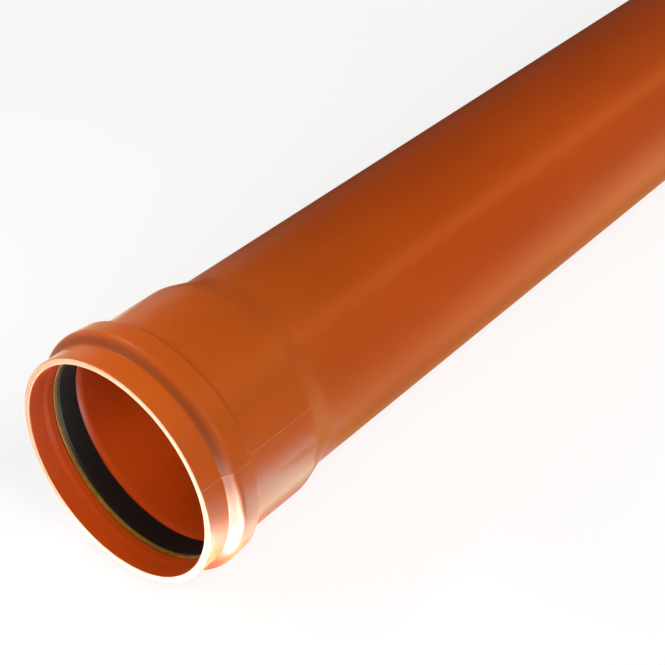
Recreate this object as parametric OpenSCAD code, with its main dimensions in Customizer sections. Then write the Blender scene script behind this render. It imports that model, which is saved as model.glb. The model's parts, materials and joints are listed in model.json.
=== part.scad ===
// Underground drain pipe: a plain extruded length with a ring-seal socket
// formed on one end, and the sealing ring and retaining ring inside it.
// Millimetres. The pipe lies as it rests on a level floor, on the crest of
// its bead and the edge of its plain end. Z is up and the mouth faces -X.

/* [Pipe] */
// Outside diameter of the plain pipe
pipe_od = 110; // [90:0.5:160]
// Wall of the plain pipe
pipe_wall = 3.2; // [2.4:0.1:4.5]
// Length that one pipe adds to a run, from the bottom of its socket
laying_length = 1000; // [300:10:3000]
// Length of the lead-in chamfer on the plain end
chamfer_length = 6; // [2:0.5:10]
// Angle of that chamfer to the pipe's axis
chamfer_angle = 15; // [8:1:20]

/* [Socket] */
// Gap on the radius between a pushed-in pipe and the socket
socket_clearance = 0.5; // [0.3:0.05:1]
// Wall of the socket's lip and barrel
socket_wall = 3.9; // [3:0.1:5]
// Depth from the mouth to the bottom of the socket
socket_depth = 73; // [62:1:120]
// Length of the cone that narrows the socket to the pipe
cone_length = 15; // [14:1:30]
// Radius of the edge where the cone leaves the barrel
cone_start_blend = 18; // [3:1:25]
// Radius that blends the cone into the pipe
cone_end_blend = 25; // [5:1:40]
// Radius of the lip's outer edge
lip_edge = 0.8; // [0.3:0.1:1.5]
// Radius of the entry edge inside the mouth
entry_edge = 0.7; // [0.3:0.1:1.5]

/* [Bead] */
// Distance from the mouth to the front foot of the bead
bead_start = 12.8; // [12:0.2:24]
// Length of the bead along the pipe, foot to foot
bead_length = 20; // [15:0.2:24]
// Height of the bead's crest over the lip
bead_height = 4.8; // [3.5:0.1:6]
// Length of the bead's front slope
bead_front_slope = 3.8; // [3:0.1:6]
// Length of the bead's rear slope
bead_rear_slope = 4.6; // [3:0.1:6]
// Fall of the crest from front to rear
crest_fall = 0.7; // [0:0.1:1.2]
// Wall of the bead
bead_wall = 3.1; // [2.4:0.1:4]
// Radius of the crest's front edge
crest_front_edge = 5; // [1:0.5:6]
// Radius of the crest's rear edge
crest_rear_edge = 2; // [0.5:0.1:2.5]
// Radius of the creases at the bead's feet
foot_edge = 1.1; // [0.3:0.1:2]
// Radius of the groove's edges inside the bead
groove_edge = 1; // [0.3:0.1:1.5]
// Radius of the shoulder behind the groove
groove_shoulder = 7; // [1:0.5:8]

/* [Seal] */
// Gap between the groove and what sits in it
seat_clearance = 0.1; // [0.05:0.05:0.3]
// Gap on the radius between a pushed-in pipe and the pressed-back seal
seal_gap = 0.3; // [0.26:0.02:0.4]
// Thickness of the seal's lip
seal_lip = 1.4; // [0.8:0.1:2]
// Length of the slot behind the seal's lip
lip_reach = 4; // [2:0.5:5.5]
// Opening of that slot at the rear of the seal
lip_slot = 1.5; // [0.8:0.1:1.8]
// Distance that the lip's tip stays in front of the groove's rear flank
lip_setback = 0.8; // [0.2:0.1:1.5]
// Width of the retaining ring at the bore
retainer_width = 2.4; // [1:0.1:3]
// Width of the retaining ring at its outer edge
retainer_tip = 0.5; // [0.3:0.1:0.8]
// Radius of the edges of the two rings
ring_edge = 0.3; // [0.1:0.05:0.5]

/* [Hidden] */
$fn = 128;
arc_steps = 6;

pipe_r = pipe_od / 2;
pipe_bore_r = pipe_r - pipe_wall;
socket_bore_r = pipe_r + socket_clearance;
lip_r = socket_bore_r + socket_wall;
bead_r = lip_r + bead_height;
groove_r = bead_r - bead_wall;

bead_end = bead_start + bead_length;
crest_start = bead_start + bead_front_slope;
crest_end = bead_end - bead_rear_slope;
cone_end = socket_depth + cone_length;
total_length = socket_depth + laying_length;
chamfer_depth = chamfer_length * tan(chamfer_angle);
chamfer_start = total_length - chamfer_length;
end_r = pipe_r - chamfer_depth;

// Where a wall of the given thickness turns by the given slope, its inner
// corner moves along the pipe by this much.
function corner_shift(wall, rise, run) = wall * tan(atan2(rise, run) / 2);
groove_start = bead_start + corner_shift(socket_wall, bead_height, bead_front_slope);
floor_start = crest_start + corner_shift(bead_wall, bead_height, bead_front_slope);
floor_end = crest_end - corner_shift(bead_wall, bead_height, bead_rear_slope);
groove_end = bead_end - corner_shift(socket_wall, bead_height, bead_rear_slope);
cone_bore_end = cone_end - corner_shift(pipe_wall, lip_r - pipe_r, cone_length);

// Corners are [along the pipe, radius, edge radius].
crest_corners = [
    [bead_start, lip_r, foot_edge],
    [crest_start, bead_r, crest_front_edge],
    [crest_end, bead_r - crest_fall, crest_rear_edge],
];
pipe_corners = concat(
    [[0, lip_r, lip_edge]],
    crest_corners,
    [
        [bead_end, lip_r, foot_edge],
        [socket_depth, lip_r, cone_start_blend],
        [cone_end, pipe_r, cone_end_blend],
        [chamfer_start, pipe_r, 0],
        [total_length, end_r, 0],
        [total_length, pipe_bore_r, 0],
        [cone_bore_end, pipe_bore_r, cone_end_blend],
        [socket_depth, socket_bore_r, foot_edge],
        [groove_end, socket_bore_r, groove_shoulder],
        [floor_end, groove_r, groove_edge],
        [floor_start, groove_r, groove_edge],
        [groove_start, socket_bore_r, groove_edge],
        [0, socket_bore_r, entry_edge],
    ]
);

// The two rings share the groove: the retaining ring is wedged against its
// front flank, and the seal fills the rest. The seal's lip points inwards.
groove_height = groove_r - socket_bore_r;
front_lean = (floor_start - groove_start) / groove_height;
rear_lean = (groove_end - floor_end) / groove_height;
function front_flank(radius) = groove_start + seat_clearance + (radius - socket_bore_r) * front_lean;
function rear_flank(radius) = groove_end - seat_clearance - (radius - socket_bore_r) * rear_lean;

seal_r = pipe_r + seal_gap;
seat_r = groove_r - seat_clearance;
retainer_rear = front_flank(socket_bore_r) + retainer_width;
retainer_top = socket_bore_r + (retainer_width - retainer_tip) / front_lean;
retainer_corners = [
    [front_flank(socket_bore_r), seal_r, ring_edge],
    [front_flank(retainer_top), retainer_top, 0],
    [retainer_rear, retainer_top, 0],
    [retainer_rear, seal_r, ring_edge],
];

seal_front = retainer_rear + seat_clearance;
lip_top = seal_r + seal_lip;
lip_end = rear_flank(lip_top) - lip_setback;
seal_corners = [
    [seal_front, seal_r + seal_lip / 2, ring_edge],
    [seal_front, retainer_top, ring_edge],
    [front_flank(seat_r - groove_edge), seat_r - groove_edge, ring_edge],
    [floor_start + groove_edge, seat_r, ring_edge],
    [floor_end - groove_edge, seat_r, ring_edge],
    [rear_flank(lip_top + lip_slot), lip_top + lip_slot, ring_edge],
    [rear_flank(lip_top + lip_slot) - lip_reach, lip_top + lip_slot / 2, 0],
    [lip_end, lip_top, ring_edge],
    [lip_end, seal_r, ring_edge],
    [seal_front + seal_lip, seal_r, ring_edge],
];

// Turning a list of corners into an outline with round edges.
function flat(p) = [p[0], p[1]];
function unit(v) = v / norm(v);
function wrap(angle) = angle > 180 ? angle - 360 : angle < -180 ? angle + 360 : angle;
function edge_centre(a, b, c) = let (u = unit(flat(a) - flat(b)), v = unit(flat(c) - flat(b)))
    flat(b) + unit(u + v) * b[2] / sin(acos(u * v) / 2);
function edge_points(a, b, c) = b[2] == 0 ? [flat(b)] : let (
        u = unit(flat(a) - flat(b)),
        v = unit(flat(c) - flat(b)),
        reach = b[2] / tan(acos(u * v) / 2),
        centre = edge_centre(a, b, c),
        from = flat(b) + u * reach - centre,
        turn = wrap(atan2((flat(b) + v * reach - centre)[1], (flat(b) + v * reach - centre)[0])
            - atan2(from[1], from[0]))
    ) [for (i = [0:arc_steps]) let (s = turn * i / arc_steps)
        centre + [from[0] * cos(s) - from[1] * sin(s), from[0] * sin(s) + from[1] * cos(s)]];
function outline(corners) = let (n = len(corners))
    [for (i = [0:n - 1]) each edge_points(corners[(i + n - 1) % n], corners[i], corners[(i + 1) % n])];

// How the pipe lies: it tips until the crest and the plain end are level.
crest = edge_centre(crest_corners[0], crest_corners[1], crest_corners[2]);
crest_to_end = [chamfer_start - crest[0], crest[1] - pipe_r];
lie_angle = atan2(crest_to_end[1], crest_to_end[0]) + asin(crest_front_edge / norm(crest_to_end));
mouth_x = -(total_length * cos(lie_angle) + (end_r - lip_r) * sin(lie_angle)) / 2;
mouth_z = crest[0] * sin(lie_angle) + crest[1] * cos(lie_angle) + crest_front_edge;

module turned(corners) {
    translate([mouth_x, 0, mouth_z])
        rotate([0, 90 + lie_angle, 0])
            rotate_extrude()
                polygon([for (p = outline(corners)) [p[1], p[0]]]);
}

module pipe() {
    color("#b8501c") turned(pipe_corners);
}

module sealing_ring() {
    color("#1e1b1b") turned(seal_corners);
}

module retaining_ring() {
    color("#8a6a1c") turned(retainer_corners);
}

pipe();
sealing_ring();
retaining_ring();
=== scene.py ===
import json
import math

import bpy
import numpy as np
from mathutils import Matrix, Vector


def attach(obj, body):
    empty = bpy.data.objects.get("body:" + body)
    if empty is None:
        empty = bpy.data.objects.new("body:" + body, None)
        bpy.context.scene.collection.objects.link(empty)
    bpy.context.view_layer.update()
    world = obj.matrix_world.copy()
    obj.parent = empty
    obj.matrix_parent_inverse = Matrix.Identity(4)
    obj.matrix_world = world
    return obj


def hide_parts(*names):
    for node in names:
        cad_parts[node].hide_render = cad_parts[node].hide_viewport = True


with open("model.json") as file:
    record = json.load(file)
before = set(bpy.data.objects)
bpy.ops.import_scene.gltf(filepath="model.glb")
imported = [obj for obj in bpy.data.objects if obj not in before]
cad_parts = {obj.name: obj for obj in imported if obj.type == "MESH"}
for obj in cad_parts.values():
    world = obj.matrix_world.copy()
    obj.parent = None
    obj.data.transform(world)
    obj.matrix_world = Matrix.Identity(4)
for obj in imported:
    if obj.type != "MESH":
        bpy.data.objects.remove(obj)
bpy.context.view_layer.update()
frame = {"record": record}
scene = bpy.context.scene
scene.view_settings.view_transform = "Standard"

MM = 1000  # millimetres in a metre

# Radii that the frame's mounts state, in millimetres
radii = {mount["name"]: mount["dims"]["r_mm"] for mount in frame["record"]["mounts"]}
PIPE_R = radii["spigot"]
PIPE_BORE = radii["waterway"]
SOCKET_BORE = radii["socket"]

# The solids' other sizes, in millimetres and degrees
LAYING = 1000.0
CHAMFER = 6.0
CHAMFER_ANGLE = 15.0
SOCKET_WALL = 3.9
SOCKET_DEPTH = 73.0
CONE = 15.0
CONE_START_BLEND = 18.0
CONE_END_BLEND = 25.0
LIP_EDGE = 0.8
ENTRY_EDGE = 0.7
BEAD_START = 12.8
BEAD_LENGTH = 20.0
BEAD_HEIGHT = 4.8
FRONT_SLOPE = 3.8
REAR_SLOPE = 4.6
CREST_FALL = 0.7
BEAD_WALL = 3.1
CREST_FRONT_EDGE = 5.0
CREST_REAR_EDGE = 2.0
FOOT_EDGE = 1.1
GROOVE_EDGE = 1.0
GROOVE_SHOULDER = 7.0
SEAT_GAP = 0.1
SEAL_GAP = 0.3
SEAL_LIP = 1.4
LIP_REACH = 4.0
LIP_SLOT = 1.5
LIP_SETBACK = 0.8
RETAINER_WIDTH = 2.4
RETAINER_TIP = 0.5
RING_EDGE = 0.3

# Fine relief that the solids leave out: the entry step inside the mouth, small edges and the mould lines
ENTRY_LENGTH = 8.6
ENTRY_RAMP = 2.6
ENTRY_BLEND = 4.0
ENTRY_STEP = 0.45
ENTRY_RISE = 0.55
CHAMFER_EDGE = 0.4
CUT_EDGE = 0.25
SHARP_EDGE = 0.1
LINE_ANGLES = (20.0, 200.0)
LINE_HEIGHT = 0.09
LINE_WIDTH = 0.24
LINE_END = 81.0
LINE_FADE = 6.0
LINE_FACING = 0.3

# How fine the meshes are: counts, and steps in degrees and millimetres
COLUMNS = 256
EDGE_STEP = 7.5
LONGEST_STEP = 25.0
LINE_STEP = 0.15
LINE_STEPS = 5
LINE_CLEAR = 0.9

# Places along the pipe where its outer material changes, in millimetres: the crease with its painted
# shade, and the end of the socket's tone with its painted warm light
CREASE = BEAD_START + 1.2
CREASE_SHADE_REACH = 2.4
TONE_AND_LIGHT_END = 70.0
TONE_AND_LIGHT_FADE = 190.0

PIPE_WALL = PIPE_R - PIPE_BORE
LIP_R = SOCKET_BORE + SOCKET_WALL
BEAD_R = LIP_R + BEAD_HEIGHT
GROOVE_R = BEAD_R - BEAD_WALL
BEAD_END = BEAD_START + BEAD_LENGTH
CREST_START = BEAD_START + FRONT_SLOPE
CREST_END = BEAD_END - REAR_SLOPE
CONE_END = SOCKET_DEPTH + CONE
TOTAL = SOCKET_DEPTH + LAYING
CHAMFER_START = TOTAL - CHAMFER
END_R = PIPE_R - CHAMFER * math.tan(math.radians(CHAMFER_ANGLE))


def corner_shift(wall, rise, run):
    """How far the inner corner moves along the pipe where a wall turns by the slope rise over run."""
    return wall * math.tan(math.atan2(rise, run) / 2)


GROOVE_START = BEAD_START + corner_shift(SOCKET_WALL, BEAD_HEIGHT, FRONT_SLOPE)
FLOOR_START = CREST_START + corner_shift(BEAD_WALL, BEAD_HEIGHT, FRONT_SLOPE)
FLOOR_END = CREST_END - corner_shift(BEAD_WALL, BEAD_HEIGHT, REAR_SLOPE)
GROOVE_END = BEAD_END - corner_shift(SOCKET_WALL, BEAD_HEIGHT, REAR_SLOPE)
CONE_BORE_END = CONE_END - corner_shift(PIPE_WALL, LIP_R - PIPE_R, CONE)
FRONT_LEAN = (FLOOR_START - GROOVE_START) / (GROOVE_R - SOCKET_BORE)
REAR_LEAN = (GROOVE_END - FLOOR_END) / (GROOVE_R - SOCKET_BORE)


def front_flank(radius):
    return GROOVE_START + SEAT_GAP + (radius - SOCKET_BORE) * FRONT_LEAN


def rear_flank(radius):
    return GROOVE_END - SEAT_GAP - (radius - SOCKET_BORE) * REAR_LEAN


# Outlines as corners: along the pipe, radius, edge radius, and the surface of the stretch that follows
OUTER, CUT, INNER = range(3)
PIPE_CORNERS = [
    (0, LIP_R, LIP_EDGE, OUTER),
    (BEAD_START, LIP_R, FOOT_EDGE, OUTER),
    (CREST_START, BEAD_R, CREST_FRONT_EDGE, OUTER),
    (CREST_END, BEAD_R - CREST_FALL, CREST_REAR_EDGE, OUTER),
    (BEAD_END, LIP_R, FOOT_EDGE, OUTER),
    (SOCKET_DEPTH, LIP_R, CONE_START_BLEND, OUTER),
    (CONE_END, PIPE_R, CONE_END_BLEND, OUTER),
    (CHAMFER_START, PIPE_R, CHAMFER_EDGE, CUT),
    (TOTAL, END_R, CUT_EDGE, CUT),
    (TOTAL, PIPE_BORE, CUT_EDGE, INNER),
    (CONE_BORE_END, PIPE_BORE, CONE_END_BLEND, INNER),
    (SOCKET_DEPTH, SOCKET_BORE, FOOT_EDGE, INNER),
    (GROOVE_END, SOCKET_BORE, GROOVE_SHOULDER, INNER),
    (FLOOR_END, GROOVE_R, GROOVE_EDGE, INNER),
    (FLOOR_START, GROOVE_R, GROOVE_EDGE, INNER),
    (GROOVE_START, SOCKET_BORE, GROOVE_EDGE, INNER),
    (ENTRY_LENGTH + ENTRY_RAMP, SOCKET_BORE, ENTRY_BLEND, INNER),
    (ENTRY_LENGTH, SOCKET_BORE + ENTRY_STEP, ENTRY_BLEND, INNER),
    (0, SOCKET_BORE + ENTRY_RISE, ENTRY_EDGE, CUT),
]

SEAL_R = PIPE_R + SEAL_GAP
SEAT_R = GROOVE_R - SEAT_GAP
RETAINER_FRONT = front_flank(SOCKET_BORE)
RETAINER_REAR = RETAINER_FRONT + RETAINER_WIDTH
RETAINER_TOP = SOCKET_BORE + (RETAINER_WIDTH - RETAINER_TIP) / FRONT_LEAN
RETAINER_CORNERS = [
    (RETAINER_FRONT, SEAL_R, RING_EDGE, OUTER),
    (front_flank(RETAINER_TOP), RETAINER_TOP, SHARP_EDGE, OUTER),
    (RETAINER_REAR, RETAINER_TOP, SHARP_EDGE, OUTER),
    (RETAINER_REAR, SEAL_R, RING_EDGE, OUTER),
]

SEAL_FRONT = RETAINER_REAR + SEAT_GAP
LIP_TOP = SEAL_R + SEAL_LIP
LIP_END = rear_flank(LIP_TOP) - LIP_SETBACK
SLOT_TOP = LIP_TOP + LIP_SLOT
SLOT_END = rear_flank(SLOT_TOP) - LIP_REACH
SEAL_CORNERS = [
    (SEAL_FRONT, SEAL_R + SEAL_LIP / 2, RING_EDGE, OUTER),
    (SEAL_FRONT, RETAINER_TOP, RING_EDGE, OUTER),
    (front_flank(SEAT_R - GROOVE_EDGE), SEAT_R - GROOVE_EDGE, RING_EDGE, OUTER),
    (FLOOR_START + GROOVE_EDGE, SEAT_R, RING_EDGE, OUTER),
    (FLOOR_END - GROOVE_EDGE, SEAT_R, RING_EDGE, OUTER),
    (rear_flank(SLOT_TOP), SLOT_TOP, RING_EDGE, OUTER),
    (SLOT_END, LIP_TOP + LIP_SLOT / 2, SHARP_EDGE, OUTER),
    (LIP_END, LIP_TOP, RING_EDGE, OUTER),
    (LIP_END, SEAL_R, RING_EDGE, OUTER),
    (SEAL_FRONT + SEAL_LIP, SEAL_R, RING_EDGE, OUTER),
]


def unit(v):
    return v / np.linalg.norm(v)


def edge(a, b, c):
    """Centre, start and end of the round edge at corner b, between corners a and c."""
    a, b, c, r = np.array(a[:2]), np.array(b[:2]), np.array(c[:2]), b[2]
    u, v = unit(a - b), unit(c - b)
    half = math.acos(np.clip(u @ v, -1, 1)) / 2
    centre = b + unit(u + v) * r / math.sin(half)
    return centre, b + u * r / math.tan(half), b + v * r / math.tan(half)


# How the pipe lies: tipped until the crest of its bead and its plain end are level
crest = edge(*PIPE_CORNERS[1:4])[0]
crest_to_end = (CHAMFER_START - crest[0], crest[1] - PIPE_R)
slant = math.atan2(crest_to_end[1], crest_to_end[0])
LIE = slant + math.asin(CREST_FRONT_EDGE / math.hypot(*crest_to_end))
AXIS = np.array([math.cos(LIE), 0, -math.sin(LIE)])
SIDE = np.array([0.0, 1.0, 0.0])
UP = np.cross(AXIS, SIDE)
MOUTH = np.array([
    -(TOTAL * math.cos(LIE) + (END_R - LIP_R) * math.sin(LIE)) / 2,
    0,
    crest[0] * math.sin(LIE) + crest[1] * math.cos(LIE) + CREST_FRONT_EDGE,
])


# Turned pieces
def outline(corners):
    """Points of a closed outline with round edges, each with its normal and its surface."""
    points = []
    n = len(corners)
    for i, b in enumerate(corners):
        a, c, d = corners[i - 1], corners[(i + 1) % n], corners[(i + 2) % n]
        centre, start, end = edge(a, b, c)
        first = math.atan2(start[1] - centre[1], start[0] - centre[0])
        last = math.atan2(end[1] - centre[1], end[0] - centre[0])
        turn = (last - first + math.pi) % (2 * math.pi) - math.pi
        steps = max(2, math.ceil(abs(math.degrees(turn)) / EDGE_STEP))
        outward = 1 if turn < 0 else -1
        for k in range(steps + 1):
            angle = first + turn * k / steps
            spoke = np.array([math.cos(angle), math.sin(angle)])
            points.append((centre + spoke * b[2], spoke * outward, a[3] if k < steps / 2 else b[3]))
        following = edge(b, c, d)[1]
        extra = int(np.linalg.norm(following - end) // LONGEST_STEP)
        for k in range(1, extra + 1):
            points.append((end + (following - end) * k / (extra + 1), points[-1][1], b[3]))
    return points


def angle_from(angle, centre):
    """Signed angle from centre, in degrees from -180 to 180."""
    return (angle - centre + 180) % 360 - 180


def columns(lines):
    """Angles around the pipe from its right side upwards, closer together at each mould line."""
    angles = set(np.round(np.arange(COLUMNS) * 360 / COLUMNS, 4))
    for line in lines:
        angles = {a for a in angles if abs(angle_from(a, line)) > LINE_CLEAR}
        angles |= {round((line + k * LINE_STEP) % 360, 4) for k in range(-LINE_STEPS, LINE_STEPS + 1)}
    return np.radians(sorted(angles))


def mould_lines(x, nr, phi, lines):
    """How high the mould lines stand on the outside of the socket, and how they slope around it."""
    rise = np.zeros((len(x), len(phi)))
    slope = np.zeros_like(rise)
    fade = np.clip((LINE_END - x) / LINE_FADE, 0, 1) * (nr > LINE_FACING)
    for line in lines:
        arc = np.radians(angle_from(np.degrees(phi), line)) * LIP_R
        bump = LINE_HEIGHT * np.exp(-((arc / LINE_WIDTH) ** 2))
        rise += bump * fade
        slope += bump * -2 * arc / LINE_WIDTH**2 * fade
    return rise, slope


def unwrap(mesh, places, phi):
    """UVs: once around the pipe, and once along the outline."""
    following = np.roll(places, -1, axis=0)
    lengths = np.r_[0, np.cumsum(np.linalg.norm(following - places, axis=1))]
    u = np.r_[phi, phi[0] + 2 * math.pi] / (2 * math.pi)
    v = lengths / lengths[-1]
    uvs = np.empty((len(places), len(phi), 4, 2))
    uvs[..., (0, 1), 0] = u[None, :-1, None]
    uvs[..., (2, 3), 0] = u[None, 1:, None]
    uvs[..., (0, 3), 1] = v[:-1, None, None]
    uvs[..., (1, 2), 1] = v[1:, None, None]
    mesh.uv_layers.new(name="turned").data.foreach_set("uv", uvs.reshape(-1).astype(np.float32))


def turned(name, corners, node, materials, lines=()):
    """A piece turned about the pipe's axis in a node's place, with mould lines at the given angles."""
    points = outline(corners)
    phi = columns(lines)
    n, m = len(points), len(phi)
    places = np.array([p[0] for p in points])
    normals = np.array([p[1] for p in points])
    surfaces = np.array([p[2] for p in points])
    x, r = places[:, :1], places[:, 1:]
    nx, nr = normals[:, :1], normals[:, 1:]
    rise, slope = mould_lines(x, nr, phi, lines)
    radial = -np.cos(phi)[:, None] * SIDE + np.sin(phi)[:, None] * UP
    tangent = np.sin(phi)[:, None] * SIDE + np.cos(phi)[:, None] * UP
    co = MOUTH + (x + rise * nx)[..., None] * AXIS + (r + rise * nr)[..., None] * radial
    normal = nx[..., None] * AXIS + nr[..., None] * radial - slope[..., None] * tangent
    normal /= np.linalg.norm(normal, axis=-1, keepdims=True)

    i, j = np.meshgrid(np.arange(n), np.arange(m), indexing="ij")
    i2, j2 = (i + 1) % n, (j + 1) % m
    quads = np.stack([i * m + j, i2 * m + j, i2 * m + j2, i * m + j2], -1).reshape(-1, 4)
    mesh = bpy.data.meshes.new(name)
    mesh.from_pydata((co.reshape(-1, 3) / MM).tolist(), [], quads.tolist())
    for material in materials:
        mesh.materials.append(material)
    mesh.polygons.foreach_set("use_smooth", np.ones(len(quads), bool))
    mesh.polygons.foreach_set("material_index", np.repeat(surfaces, m).astype(np.int32))
    mesh.update()

    unwrap(mesh, places, phi)
    for key, values in (("along", x / MM), ("radius", r / MM), ("ridge", rise / LINE_HEIGHT)):
        attribute = mesh.attributes.new(key, "FLOAT", "POINT")
        per_point = np.broadcast_to(values, (n, m)).reshape(-1)
        attribute.data.foreach_set("value", per_point.astype(np.float32))
    mesh.normals_split_custom_set_from_vertices(normal.reshape(-1, 3).tolist())
    piece = bpy.data.objects.new(name, mesh)
    scene.collection.objects.link(piece)
    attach(piece, "root")
    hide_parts(node)
    return piece


# Materials
def srgb(r, g, b):
    """A colour given in sRGB from 0 to 255, as the shaders take it."""
    def one(c):
        c /= 255
        return c / 12.92 if c <= 0.04045 else ((c + 0.055) / 1.055) ** 2.4
    return (one(r), one(g), one(b), 1.0)


class Nodes:
    """Short names for making the nodes of a material or of the world."""

    def __init__(self, owner, shader):
        owner.use_nodes = True
        self.owner = owner
        self.tree = owner.node_tree
        self.shader = self.tree.nodes[shader]

    @classmethod
    def material(cls, name):
        return cls(bpy.data.materials.new(name), "Principled BSDF")

    def put(self, socket, value):
        """Links a socket to another node's output, or sets it to a plain value."""
        if isinstance(value, bpy.types.NodeSocket):
            self.tree.links.new(value, socket)
        elif value is not None:
            socket.default_value = value

    def shade(self, **inputs):
        for key, value in inputs.items():
            self.put(self.shader.inputs[key.replace("_", " ")], value)
        return self.owner

    def add(self, kind, inputs=(), **settings):
        node = self.tree.nodes.new(kind)
        for key, value in settings.items():
            setattr(node, key, value)
        for key, value in dict(inputs).items():
            self.put(node.inputs[key], value)
        return node

    def noise(self, scale, detail, rough):
        """Noise in object coordinates, in metres, times scale."""
        coord = self.add("ShaderNodeTexCoord").outputs["Object"]
        place = self.add("ShaderNodeMapping", {"Vector": coord, "Scale": scale}).outputs["Vector"]
        inputs = {"Vector": place, "Scale": 1.0, "Detail": detail, "Roughness": rough}
        return self.add("ShaderNodeTexNoise", inputs).outputs["Fac"]

    def attribute(self, name):
        return self.add("ShaderNodeAttribute", attribute_name=name).outputs["Fac"]

    def math(self, operation, a, b=None):
        return self.add("ShaderNodeMath", {0: a, 1: b}, operation=operation).outputs[0]

    def blend(self, a, b, share):
        """The sum of a share of a and the rest of b."""
        return self.math("ADD", self.math("MULTIPLY", a, share), self.math("MULTIPLY", b, 1 - share))

    def spread(self, value, low, high, to_low, to_high, curve="LINEAR"):
        inputs = {"Value": value, "From Min": low, "From Max": high, "To Min": to_low, "To Max": to_high}
        return self.add("ShaderNodeMapRange", inputs, interpolation_type=curve).outputs["Result"]

    def mix(self, fac, a, b):
        return self.add("ShaderNodeMix", {0: fac, 6: a, 7: b}, data_type="RGBA").outputs[2]

    def bump(self, height, strength, distance, normal=None):
        inputs = {"Strength": strength, "Distance": distance, "Height": height, "Normal": normal}
        return self.add("ShaderNodeBump", inputs).outputs["Normal"]

    def seen(self):
        """1 for rays from the camera and for those that were mirrored or came through something clear."""
        path = self.add("ShaderNodeLightPath").outputs
        seen = self.math("MAXIMUM", path["Is Camera Ray"], path["Is Glossy Ray"])
        return self.math("MAXIMUM", seen, path["Is Transmission Ray"])


def pvc(name, light, dark, rough, streak, outside=False):
    """Extruded PVC-U: fine lines along the pipe, soft cloudy colour and a satin skin.

    The outside also has a yellower tone on the socket, partly its own tone and partly painted warm light,
    and painted shade in the crease in front of the bead.
    """
    m = Nodes.material(name)
    lines = m.noise((1.2, 900, 900), 4.0, 0.6)
    clouds = m.noise((9, 22, 22), 3.0, 0.5)
    grain = m.noise((2600, 2600, 2600), 2.0, 0.6)
    tone = m.spread(m.blend(lines, clouds, 0.25), 0.3, 0.7, 0, 1)
    colour = m.mix(tone, dark, light)
    if outside:
        # A yellower tone over the socket that fades out along the pipe: partly the socket's own tone,
        # partly painted warm light
        socket_tone_and_warm_light = m.spread(m.attribute("along"), TONE_AND_LIGHT_END / MM, TONE_AND_LIGHT_FADE / MM, 1, 0)
        colour = m.mix(socket_tone_and_warm_light, colour, m.mix(tone, srgb(165, 71, 17), srgb(176, 79, 21)))
        # Painted shade in the crease in front of the bead: the colour is darkened there as if shade fell
        # in it
        away = m.math("ABSOLUTE", m.math("SUBTRACT", m.attribute("along"), CREASE / MM))
        near = m.spread(away, 0, CREASE_SHADE_REACH / MM, 0.6, 0)
        crease_shade = m.math("MULTIPLY", near, m.spread(clouds, 0.3, 0.7, 0.8, 1))
        colour = m.mix(crease_shade, colour, srgb(104, 58, 34))
    # Painted highlight: the mould lines are mixed towards a pale colour, as if their ridges caught the
    # light
    line = m.math("MULTIPLY", m.attribute("ridge"), 0.09)
    return m.shade(
        Base_Color=m.mix(line, colour, srgb(236, 170, 125)),
        Roughness=m.spread(lines, 0.25, 0.75, rough - 0.05, rough + 0.05),
        Normal=m.bump(grain, 0.12, 0.00004, m.bump(lines, 0.25, streak)),
        IOR=1.5,
        Specular_IOR_Level=0.07,
    )


def cut_pvc_and_painted_light(name):
    """Sawn and turned end faces: paler, with fine rings. The paleness is partly the fresh cut's own
    colour and partly painted light, chiefly for the lip's bright face.
    """
    m = Nodes.material(name)
    across = m.math("ADD", m.attribute("radius"), m.attribute("along"))
    inputs = {"W": across, "Scale": 9000.0, "Detail": 2.0}
    rings = m.add("ShaderNodeTexNoise", inputs, noise_dimensions="1D").outputs["Fac"]
    tone = m.blend(rings, m.noise((160, 160, 160), 3.0, 0.6), 0.5)
    return m.shade(
        Base_Color=m.mix(m.spread(tone, 0.3, 0.7, 0, 1), srgb(226, 162, 108), srgb(244, 200, 154)),
        Normal=m.bump(rings, 0.3, 0.00006),
        Roughness=0.42,
        IOR=1.5,
        Specular_IOR_Level=0.2,
    )


def rubber(name):
    """Black rubber with a faint bloom and a fine skin."""
    m = Nodes.material(name)
    bloom = m.noise((260, 260, 260), 4.0, 0.6)
    skin = m.noise((1800, 1800, 1800), 2.0, 0.5)
    return m.shade(
        Base_Color=m.mix(m.spread(bloom, 0.35, 0.75, 0, 1), srgb(31, 26, 24), srgb(38, 32, 30)),
        Roughness=m.spread(bloom, 0.3, 0.7, 0.5, 0.58),
        Normal=m.bump(skin, 0.08, 0.00002),
        IOR=1.5,
        Specular_IOR_Level=0.06,
    )


def retainer_plastic(name):
    """Olive-yellow moulded plastic with soft flow marks."""
    m = Nodes.material(name)
    flow = m.noise((300, 300, 300), 3.0, 0.5)
    return m.shade(
        Base_Color=m.mix(m.spread(flow, 0.3, 0.7, 0, 1), srgb(134, 102, 26), srgb(156, 122, 36)),
        Normal=m.bump(flow, 0.1, 0.00005),
        Roughness=0.45,
        IOR=1.49,
        Specular_IOR_Level=0.2,
    )


# The pieces, with the pipe's materials in the order of its surfaces
PVC = (
    pvc("pvc_outside", srgb(180, 73, 14), srgb(169, 65, 11), 0.36, 0.00002, outside=True),
    cut_pvc_and_painted_light("pvc_cut_face"),
    # The inside is paler than the outside's PVC: painted light inside the socket and pipe
    pvc("pvc_inside", srgb(205, 79, 19), srgb(193, 71, 16), 0.42, 0.00006),
)
RUBBER = (rubber("seal_rubber"),)
OLIVE_PLASTIC = (retainer_plastic("retainer_plastic"),)
pipe = turned("drain_pipe", PIPE_CORNERS, "pipe", PVC, LINE_ANGLES)
seal = turned("seal", SEAL_CORNERS, "sealing_ring", RUBBER)
retainer = turned("retainer", RETAINER_CORNERS, "retaining_ring", OLIVE_PLASTIC)


# Floor and flags, in metres
FLOOR_REACH = 6.0
FLAG_Z = 0.0006


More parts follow.
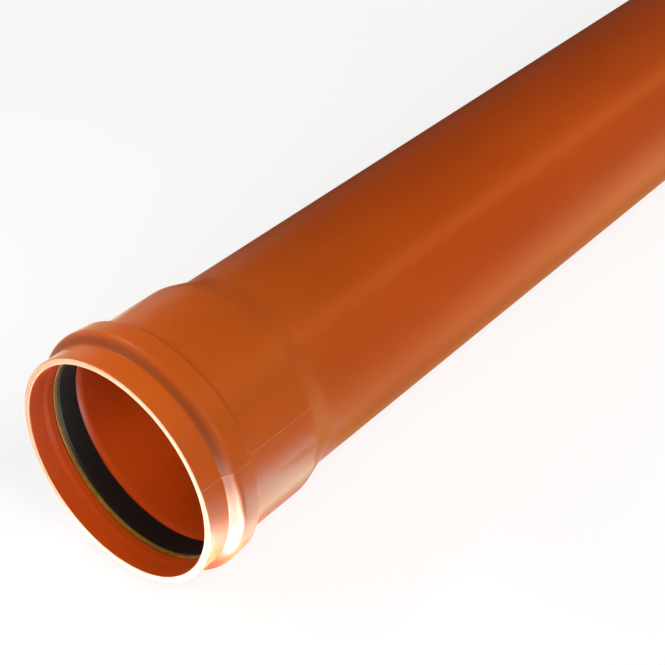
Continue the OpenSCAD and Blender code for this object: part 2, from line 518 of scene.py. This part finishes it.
def hide(thing, *rays):
    """Hides a sheet or a lamp from the named kinds of ray."""
    for ray in rays:
        setattr(thing, "visible_" + ray, False)


def floor_material():
    """Pale floor: near white where it is seen or mirrored, and matt white in the light it throws back."""
    m = Nodes.material("floor")
    seen = m.seen()
    return m.shade(
        Base_Color=m.mix(seen, srgb(226, 226, 226), srgb(150, 150, 150)),
        Emission_Strength=m.math("MULTIPLY", seen, 0.76),
        Emission_Color=(1, 1, 1, 1),
        Roughness=0.9,
        Specular_IOR_Level=0.1,
    )


def flag_material(name, glow, strength):
    return Nodes.material(name).shade(
        Base_Color=srgb(30, 26, 24),
        Emission_Color=(*glow, 1),
        Emission_Strength=strength,
        Roughness=0.9,
        Specular_IOR_Level=0.0,
    )


def sheet_on_floor(name, x, y, z, material):
    mesh = bpy.data.meshes.new(name)
    corners = [(x[0], y[0], z), (x[1], y[0], z), (x[1], y[1], z), (x[0], y[1], z)]
    mesh.from_pydata(corners, [], [(0, 1, 2, 3)])
    mesh.materials.append(material)
    sheet = bpy.data.objects.new(name, mesh)
    scene.collection.objects.link(sheet)
    return sheet


def flag(name, x, y, material):
    """A sheet that only shine sees. Its x is counted from the mouth."""
    mouth = MOUTH[0] / MM
    sheet = sheet_on_floor(name, (mouth + x[0], mouth + x[1]), y, FLAG_Z, material)
    hide(sheet, "camera", "diffuse", "shadow", "transmission")


REACH = (-FLOOR_REACH, FLOOR_REACH)
sheet_on_floor("floor", REACH, REACH, 0, floor_material())

# A dark sheet that the pipe's far edge mirrors, which darkens that edge, and a glowing warm sheet that
# its near edge mirrors as a warm sheen: both are seen only in reflections
flag("left_flag", (0.28, 2.8), (0.13, 1.7), flag_material("dark_flag", (0, 0, 0), 0))
flag("low_flag", (0.13, 1.05), (-0.085, -0.012), flag_material("warm_flag", (1.0, 0.84, 0.36), 0.9))


# Light
CARD_Z = 0.004


def at(x, y, z):
    """A point in metres given along the pipe from its mouth, to its left and above its axis."""
    return Vector((MOUTH / MM + x * AXIS + y * SIDE + z * UP).tolist())


def add_lamp(name, kind, place, aim, watts, colour):
    lamp = bpy.data.objects.new(name, bpy.data.lights.new(name, kind))
    scene.collection.objects.link(lamp)
    lamp.data.energy = watts
    lamp.data.color = colour
    lamp.location = place
    lamp.rotation_euler = (aim - place).to_track_quat("-Z", "Y").to_euler()
    return lamp


def softbox(name, place, aim, size, watts, colour=(1, 1, 1)):
    lamp = add_lamp(name, "AREA", place, aim, watts, colour)
    lamp.data.shape = "RECTANGLE"
    lamp.data.size, lamp.data.size_y = size
    return lamp


def beam(name, place, aim, angle, watts, softness):
    """A narrow spot that fades out towards its edge."""
    lamp = add_lamp(name, "SPOT", place, aim, watts, (1, 1, 1))
    lamp.data.spot_size = math.radians(angle)
    lamp.data.spot_blend = 1.0
    lamp.data.shadow_soft_size = softness
    return lamp


def card(name, x, y, size, turn, watts, colour=(1, 1, 1)):
    """A light panel on the floor that faces up, its length turned from the pipe's direction."""
    lamp = softbox(name, at(x, y, 0), at(x, y, 1), size, watts, colour)
    lamp.location.z = CARD_Z
    lamp.rotation_euler = (math.pi, 0, math.radians(turn))
    hide(lamp, "camera")
    return lamp


softbox("key", at(0.1, -1.75, 1.45), at(0.1, 0, 0), (1.3, 1.7), 39.5, (1.0, 0.97, 0.92))
softbox("left", at(-0.1, 1.8, 0.4), at(0.1, 0, 0), (1.6, 0.5), 2.5)

# Soft fills that the pieces don't mirror
front = softbox("front", at(-0.72, -0.24, 0.92), at(0, 0, 0), (0.6, 0.6), 0.6)
fill = softbox("fill", at(-0.8, -0.96, 1.0), at(0.1, 0, 0), (1.5, 1.5), 1.2)
mouth_light = softbox("mouth_light", at(-0.26, 0.26, 0.2), at(0, 0, 0), (0.25, 0.25), 0.7)
back_fill = softbox("back_fill", at(0.6, 1.7, 0.12), at(0.6, 0, 0), (1.6, 0.35), 6.5)
for lamp in (front, fill, mouth_light, back_fill):
    hide(lamp, "glossy")

# The low fill at the back lights the pieces alone, so that it leaves no hard line on the floor
lit = bpy.data.collections.new("pieces")
for piece in (pipe, seal, retainer):
    lit.objects.link(piece)
back_fill.light_linking.receiver_collection = lit

# A card at the back left that the bead and lip mirror along their upper left edges
left_card = softbox(
    "left_card", at(0.51, 0.88, 0.11), at(0.01, 0.02, 0.05), (0.26, 0.3), 0.45, (0.8, 1.0, 0.65)
)
hide(left_card, "camera", "diffuse")

# A long warm strip that the pipe mirrors as a soft stripe along its upper right
stripe = softbox("stripe", at(1.275, -0.715, 0.88), at(0.2, 0, 0), (1.05, 0.16), 11, (1.0, 0.45, 0.12))
hide(stripe, "diffuse")
run = (at(1.75, -0.58, 0.71) - at(0.8, -0.85, 1.05)).normalized()
back = stripe.location - at(0.2, 0, 0.03)
back = (back - run * back.dot(run)).normalized()
stripe.rotation_euler = Matrix((run, back.cross(run), back)).transposed().to_euler()

# A spot on the mouth's upper left edge, and one on the inside of the socket
beam("snoot", at(0.05, 0.45, 0.62), at(-0.005, 0.0, 0.05), 15.0, 23, 0.08)
inside = beam("inside", at(-0.42, -0.3, 0.42), at(0.035, 0.025, -0.025), 7.6, 12, 0.03)
hide(inside, "glossy")

# Panels on the floor: the first lights the mouth too, and the others only give the pieces their shine
card("front_card", -0.09, -0.09, (0.14, 0.14), 0, 0.12)
for shine in (
    card("bead_strip", -0.06, -0.15, (0.22, 0.07), 48, 7.8, (0.78, 1.0, 0.96)),
    card("lip_strip", -0.055, 0.05, (0.22, 0.07), -50, 0.8),
    card("side_strip", 0.108, -0.115, (0.07, 0.05), 0, 0.19, (0.45, 0.9, 1.0)),
    card("gold_strip", 0.4, -0.155, (0.6, 0.16), 0, 0.8, (1.0, 0.7, 0.17)),
    card("low_strip", 0.065, -0.076, (0.1, 0.035), 0, 0.085, (0.62, 1.0, 0.78)),
    card("rim_strip", 0.165, 0.275, (0.26, 0.09), 57, 0.2, (0.8, 1.0, 0.62)),
):
    hide(shine, "diffuse")


def studio():
    """Dim soft surroundings, with a pale band round the horizon where they are seen or mirrored.

    In one direction the band is dark, but only where it is mirrored.
    """
    world = bpy.data.worlds.new("studio")
    scene.world = world
    m = Nodes(world, "Background")
    ways = m.add("ShaderNodeTexCoord").outputs["Generated"]
    direct = m.add("ShaderNodeLightPath").outputs["Is Camera Ray"]

    def toward(direction, low, high, to_low, to_high):
        inputs = {0: ways, 1: Vector(direction).normalized()}
        dot = m.add("ShaderNodeVectorMath", inputs, operation="DOT_PRODUCT").outputs["Value"]
        return m.spread(dot, low, high, to_low, to_high, "SMOOTHSTEP")

    not_dark = m.math("MAXIMUM", toward((0.84, 0.54, 0.1), 0.9, 0.96, 1, 0), direct)
    band = m.math("MULTIPLY", toward((0, 0, 1), 0.2, 0.5, 0.6, 0), not_dark)
    band = m.math("ADD", band, m.math("MULTIPLY", direct, 0.25))
    soft = toward((0.1, -0.75, 0.65), -1.0, 1.0, 0.04, 0.22)
    m.shade(Color=(1.0, 0.99, 0.98, 1), Strength=m.math("ADD", soft, m.math("MULTIPLY", m.seen(), band)))


studio()

# Camera: lens in millimetres, and the view's turn from the pipe's direction and downward tilt in degrees
LENS = 80.15
VIEW_TURN = 38.9624
VIEW_DOWN = 36.4421
camera = bpy.data.objects.new("camera", bpy.data.cameras.new("camera"))
scene.collection.objects.link(camera)
camera.data.sensor_width = 36
camera.data.lens = LENS
camera.data.clip_start = 0.01
turn, down = math.radians(VIEW_TURN), math.radians(VIEW_DOWN)
ahead = math.cos(down) * (math.cos(turn) * AXIS + math.sin(turn) * SIDE) - math.sin(down) * UP
right = unit(np.cross(ahead, UP))
pose = np.eye(4)
pose[:3] = np.column_stack([right, np.cross(right, ahead), -ahead, at(-0.32888, -0.39415, 0.45143)])
camera.matrix_world = Matrix(pose.tolist())
scene.camera = camera
